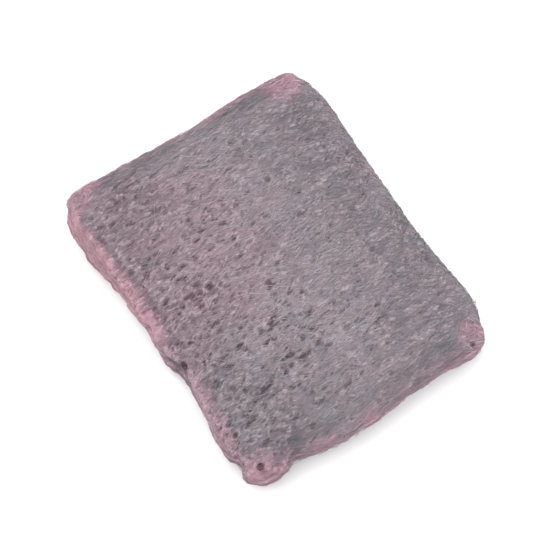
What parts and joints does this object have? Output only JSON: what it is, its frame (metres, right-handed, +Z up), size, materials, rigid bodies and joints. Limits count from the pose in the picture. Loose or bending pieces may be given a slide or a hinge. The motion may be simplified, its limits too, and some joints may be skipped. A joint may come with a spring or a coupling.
{
  "type": "steel wool pad",
  "caption": "Rectangular scouring pad of fine steel wool, a felted ribbon folded once, with soap pressed inside that shows pink at its lip and rim; it rests flat on one face.",
  "frame": {"origin": "on the table, under the middle of the pad's overall box, on the flat patch that it rests on", "axes": "+Z up through the pad's thickness; +Y along the lip and the fold, the longest side; +X from the lip to the fold, along the fibres"},
  "size_m": [0.0678, 0.0818, 0.0161],
  "materials": {
    "soaped_steel_wool": "matt felt of fine grey steel fibres, tinted pink by dried soap, strongest along the lip, the selvedges and the corners"
  },
  "bodies": {
    "root": {"steel_wool_pad": "soaped_steel_wool"}
  },
  "joints": []
}
